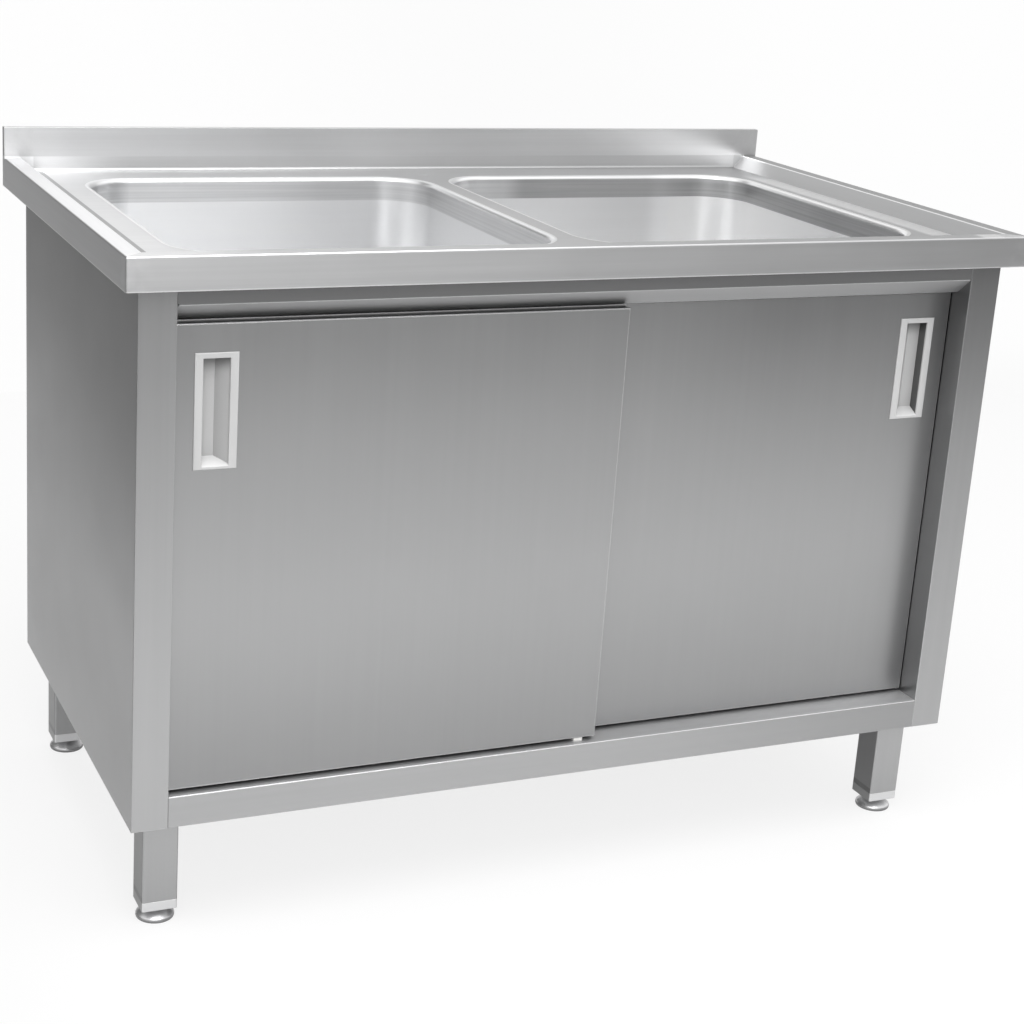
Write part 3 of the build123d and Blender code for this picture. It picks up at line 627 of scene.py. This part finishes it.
def handle_cup(side, sign):
    low, high = (Vector(corner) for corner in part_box(f"{side}_handle_cup"))
    size, middle = high - low, (low + high) / 2
    form = bmesh.new()
    bmesh.ops.create_cube(form, size=1, matrix=Matrix.Translation(
        (middle.x, low.y + cup_flange / 2, middle.z))
        @ Matrix.Diagonal((size.x, cup_flange, size.z, 1)))
    back = max(form.faces, key=depth)
    bmesh.ops.inset_region(form, faces=[back], thickness=cup_body_inset, use_even_offset=True)
    drawn(form, [back], (0, size.y - cup_flange, 0))
    rounded(form, edges_at(form, low.y), flange_round, 3)

    # The mouth is let into the flange, narrowed and lowered at its top.
    front = min(form.faces, key=depth)
    bmesh.ops.inset_region(form, faces=[front], thickness=cup_frame, use_even_offset=True)
    mouth = list(front.verts)
    bmesh.ops.scale(form, verts=mouth, vec=(mouth_share, 1, 1),
                    space=Matrix.Translation((-middle.x, 0, 0)))
    top = max(v.co.z for v in mouth)
    shift(form, [v for v in mouth if v.co.z > top - 0.001], (0, 0, -mouth_drop))
    before = set(form.faces)
    drawn(form, [front], (0, pocket_depth, 0))

    # The pocket's floor is cut upright; its part nearer to the unit's middle is
    # drawn forward to a slope, and the lower edges of both are lifted.
    cut_at = middle.x - sign * slope_line
    cut(form, [f for f in form.faces if f not in before], (cut_at, 0, 0), (1, 0, 0))
    floor = [v for v in form.verts if abs(v.co.y - low.y - pocket_depth) < 0.0001
             and abs(v.co.x - middle.x) < mouth_reach
             and low.z + 0.003 < v.co.z < high.z - 0.003]
    lowest = min(v.co.z for v in floor)
    shallow = [v for v in floor if (cut_at - v.co.x) * sign > 0.001]
    deep = [v for v in floor if v not in shallow]
    shift(form, [v for v in deep if v.co.z < lowest + 0.001], (0, 0, floor_lift))
    shift(form, [v for v in shallow if v.co.z < lowest + 0.001], (0, 0, slope_lift))
    shift(form, shallow, (0, -slope_rise, 0))
    rounded(form, [e for e in edges_at(form, low.y)
                   if all(abs(v.co.x - middle.x) < mouth_reach for v in e.verts)],
            mouth_round, 2)
    bmesh.ops.recalc_face_normals(form, faces=form.faces)
    return form


def painted_pocket_light(finish, place):
    """Both pockets have painted shade under their top edges, the right one also on its
    steep outer side and the left one a little on its slope.  Edges and floors that
    face upwards are lightened as painted light."""
    across, along, height = finish.axes(place)
    facing_right, facing_back, facing_up = finish.axes(finish.facing())
    right = across.clipped(-0.01, 0.01)
    inside = (along + right * -door_step).clipped(-0.3135, -0.3120)
    steep = right * inside * (facing_right * -1).clipped(0.85, 0.95)
    top = inside * height.clipped(0.703, 0.7235)
    slope = (1 - right) * inside * (facing_right * -1).clipped(0.40, 0.60)
    return ((1 - steep * 0.84) * (1 - slope * 0.16) * (1 - top * 0.50)
            * facing_up.clipped(0.15, 0.5).goes(1, 1.28))


for side, sign in (("left", -1), ("right", 1)):
    plastic = moulded(f"{side}_cup_plastic", 0.53, 0.38, recess_shade=0.35, extra=painted_pocket_light)
    finished_piece(f"{side}_moulded_cup", handle_cup(side, sign), plastic, f"{side}_door",
                   "cup_plastic", f"{side}_handle_cup")


# ---------------------------------------------------------------------------
# The legs.
# Square folded tube on a plate under the cabinet, with a ground end piece at the
# bottom for the foot.  The faces turned sideways are darkened as painted shade.
def painted_side_shade(finish, place):
    """The two faces turned to the ends of the unit are darkened as painted shade."""
    sideways = finish.axes(finish.facing())[0]
    end_piece = 1 - finish.axes(place)[2].clipped(0.0370, 0.0380)
    return 1 - abs(sideways).clipped(0.8, 0.95) * end_piece.goes(0.42, 0.60)


corners = ("front_left", "front_right", "back_left", "back_right")
leg_steel = brushed("leg_steel", 0.42, 0.34, "Z", corner_shade=0.3, extra=painted_side_shade)
end_steel = brushed("leg_end_steel", 0.68, 0.34, "X", extra=painted_side_shade)
for corner in corners:
    dress(leg_steel, f"{corner}_leg")
    dress(end_steel, f"{corner}_leg_insert")


# ---------------------------------------------------------------------------
# The levelling feet.
# Each is a plated cap, turned to a cone with a thin rim darkened as painted shade,
# and drawn up to the leg on a screw thread that is wound into the leg's end piece.
foot_outline = ((0, 0), (22.4, 0), (23.5, 0.5), (24, 1.5), (24, 3.6), (23.5, 4.9),
                (22.2, 6.2), (20, 7.8), (17, 9.7), (14, 11.5), (11.6, 13.2), (10, 15),
                (9.2, 16.6), (9, 18), (0, 18))
thread_low, thread_high, thread_root, thread_crest, thread_pitch = 17.6, 47.5, 4.3, 4.9, 1.5


def outlined(outline):
    """A form that holds a bare line, and its parts, from points in millimetres."""
    form = bmesh.new()
    points = [form.verts.new((reach / 1000, 0, height / 1000)) for reach, height in outline]
    lines = [form.edges.new(pair) for pair in zip(points, points[1:])]
    return form, points + lines


def spun(outline, steps):
    """A turned form, from half of its outline."""
    form, line = outlined(outline)
    bmesh.ops.spin(form, geom=line, cent=(0, 0, 0), axis=(0, 0, 1), dvec=(0, 0, 0),
                   angle=2 * math.pi, steps=steps, use_merge=True, use_duplicate=False)
    bmesh.ops.remove_doubles(form, verts=form.verts, dist=0.000002)
    bmesh.ops.recalc_face_normals(form, faces=form.faces)
    return form


def wound(low, high, root, crest, pitch, steps=24):
    """A screw thread between two heights, in millimetres, cut flat at its ends."""
    start = low - 1.3 * pitch
    form, line = outlined(((root, start), (crest, start + pitch / 2), (root, start + pitch)))
    turns = math.ceil((high - low) / pitch) + 2
    bmesh.ops.spin(form, geom=line, cent=(0, 0, 0), axis=(0, 0, 1),
                   dvec=(0, 0, pitch / 1000 / steps), angle=2 * math.pi * turns,
                   steps=steps * turns, use_merge=False, use_duplicate=False)
    bmesh.ops.remove_doubles(form, verts=form.verts, dist=0.000008)
    for height, way in ((low, -1), (high, 1)):
        ended = bmesh.ops.bisect_plane(
            form, geom=form.verts[:] + form.edges[:] + form.faces[:], dist=1e-7,
            plane_co=(0, 0, height / 1000), plane_no=(0, 0, way), clear_outer=True)
        round_edges = [e for e in ended["geom_cut"] if isinstance(e, bmesh.types.BMEdge)]
        bmesh.ops.edgeloop_fill(form, edges=round_edges)
    bmesh.ops.recalc_face_normals(form, faces=form.faces)
    return form


def joined(form, other, places=(Matrix(),)):
    """Adds copies of one form to another, at each place given."""
    part = bpy.data.meshes.new("part")
    other.to_mesh(part)
    other.free()
    for place in places:
        copy = part.copy()
        copy.transform(place)
        form.from_mesh(copy)
        bpy.data.meshes.remove(copy)
    bpy.data.meshes.remove(part)
    return form


def painted_foot_shade(finish, place):
    """The thin rim is darkened as painted shade, and the cone where the leg covers it as
    painted shadow.
    """
    rim = 1 - finish.axes(place)[2].clipped(0.0040, 0.0060)
    open_air = finish.open_air(0.02)
    return (1 - rim * 0.55) * open_air.goes(0.25, 1)


foot_steel = turned("foot_steel", 0.88, 0.36, extra=painted_foot_shade)
for corner in corners:
    low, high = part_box(f"{corner}_foot")
    foot = joined(spun(foot_outline, 64), wound(thread_low, thread_high, thread_root,
                                                thread_crest, thread_pitch))
    shift(foot, foot.verts, ((low[0] + high[0]) / 2, (low[1] + high[1]) / 2, 0))
    finished_piece(f"{corner}_turned_foot", foot, foot_steel, f"{corner}_foot", "foot_steel",
                   f"{corner}_foot")


# ---------------------------------------------------------------------------
# The screws of the back panel.
# Eight pan-head screws with a cross recess hold the sheet to the flanges of the
# sides.
screw_outline = ((0, 1.60), (2.7, 1.52), (3.5, 1.20), (4.0, 0.70), (4.2, 0.0), (1.9, 0.0),
                 (1.9, -7.4), (0.6, -9.0), (0, -9.0))
crown = 0.0013
cross_reach, cross_half, cross_depth, cross_taper = 0.0020, 0.0005, 0.0010, 0.55
screw_column, panel_back, screw_rows = 0.562, 0.290, (0.215, 0.3933, 0.5717, 0.750)

screw = spun(screw_outline, 24)
for way in ((1, 0, 0), (0, 1, 0)):
    for line in (-cross_reach, -cross_half, cross_half, cross_reach):
        head = [f for f in screw.faces if f.calc_center_median().z > crown]
        cut(screw, head, Vector(way) * line, way)
recess = []
for face in screw.faces:
    middle = face.calc_center_median()
    near_in, far_out = sorted((abs(middle.x), abs(middle.y)))
    if middle.z > crown and far_out < cross_reach and near_in < cross_half:
        recess.append(face)
bottom = drawn(screw, recess, (0, 0, -cross_depth))
bmesh.ops.scale(screw, verts=bottom, vec=(cross_taper, cross_taper, 1))
bmesh.ops.recalc_face_normals(screw, faces=screw.faces)

# Each head points backwards and has stopped at another turn.
outward = Matrix.Rotation(-math.pi / 2, 4, "X")
spots = [Matrix.Translation((side * screw_column, panel_back, row)) @ outward
         @ Matrix.Rotation(row * 9 + side, 4, "Z") for side in (-1, 1) for row in screw_rows]
fixing_steel = turned("fixing_steel", 0.60, 0.36)
finished_piece("back_panel_screws", joined(bmesh.new(), screw, spots), fixing_steel,
               "cabinet", "fastener_steel", "back_screws")


# ---------------------------------------------------------------------------
# The hidden screws, bolts and axles.
# Small plated fixings in the tracks, in the hangers, at the guide and at the legs.
dress(fixing_steel, "track_screws", "guide_screws", "leg_bolts", "leg_nuts",
      "left_hanger_screws", "right_hanger_screws", "left_roller_axles", "right_roller_axles")
